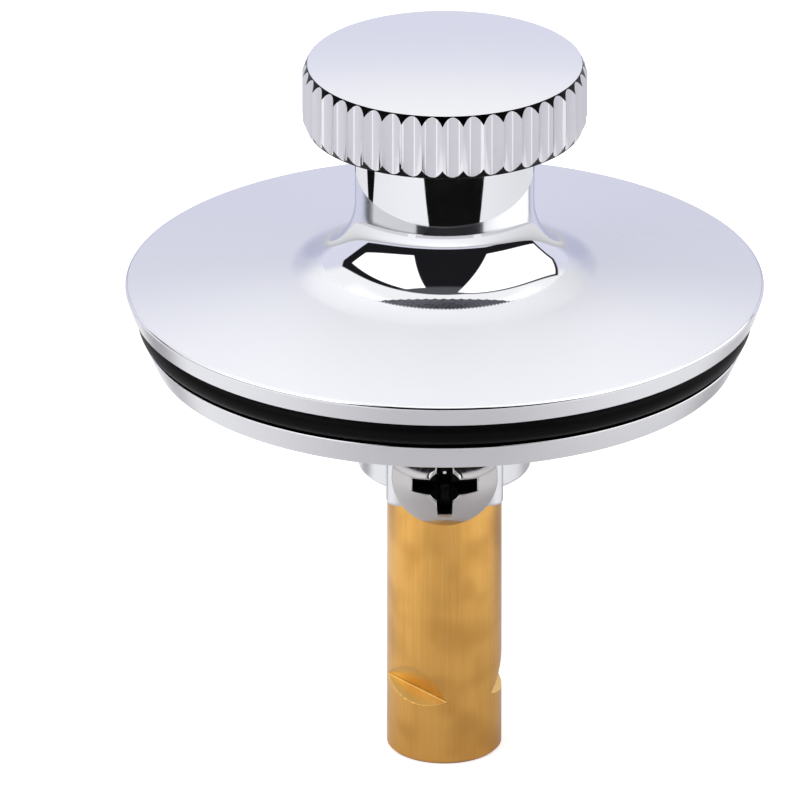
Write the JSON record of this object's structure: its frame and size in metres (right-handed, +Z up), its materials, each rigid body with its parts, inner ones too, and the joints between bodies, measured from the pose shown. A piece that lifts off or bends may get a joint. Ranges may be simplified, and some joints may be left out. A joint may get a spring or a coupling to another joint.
{
  "type": "drain stopper",
  "caption": "Lift and turn bathtub drain stopper: chromed cone disc with rim seal and fluted knob, on a brass tube post it rises and turns on.",
  "frame": {"origin": "centre of the foot of the post, where it lands on the drain's crossbar", "axes": "+Z up along the post's axis to the knob; the cross recess screw faces -Y with the stopper down; +X to the right seen from the front"},
  "size_m": [0.053, 0.053, 0.0614],
  "materials": {
    "body_chrome": "bright chrome plate on a casting",
    "knob_chrome": "bright chrome plate on a casting",
    "screw_chrome": "chrome plated steel",
    "seal_rubber": "smooth moulded rubber",
    "inner_rubber": "smooth moulded rubber",
    "washer_rubber": "cut sheet rubber",
    "bushing_nylon": "moulded natural nylon",
    "inner_steel": "plain stainless steel",
    "ring_steel": "drawn stainless wire",
    "post_brass": "drawn tube, bare and slightly tarnished",
    "insert_brass": "turned bar"
  },
  "bodies": {
    "post": {"post_tube": "post_brass", "threaded_insert": "insert_brass"},
    "guide": {"upper_bushing": "bushing_nylon", "grip_ring": "inner_rubber", "lower_bushing": "bushing_nylon"},
    "head": {"stopper_body": "body_chrome", "rim_seal": "seal_rubber", "knob": "knob_chrome", "knob_screw": "inner_steel", "sealing_washer": "washer_rubber", "cam_screw": "screw_chrome", "retaining_ring": "ring_steel"}
  },
  "joints": [
    {"name": "lift", "type": "slide", "parent": "post", "child": "guide", "axis": [0, 0, 1], "range_m": [0, 0.0095]},
    {"name": "turn", "type": "hinge", "parent": "guide", "child": "head", "pos_m": [0, 0, 0.0447], "axis": [0, 0, -1], "range_deg": [0, 90]}
  ],
  "couplings": [
    {"joint": "lift", "follows": "turn", "m_per_rad": 0.006047}
  ]
}
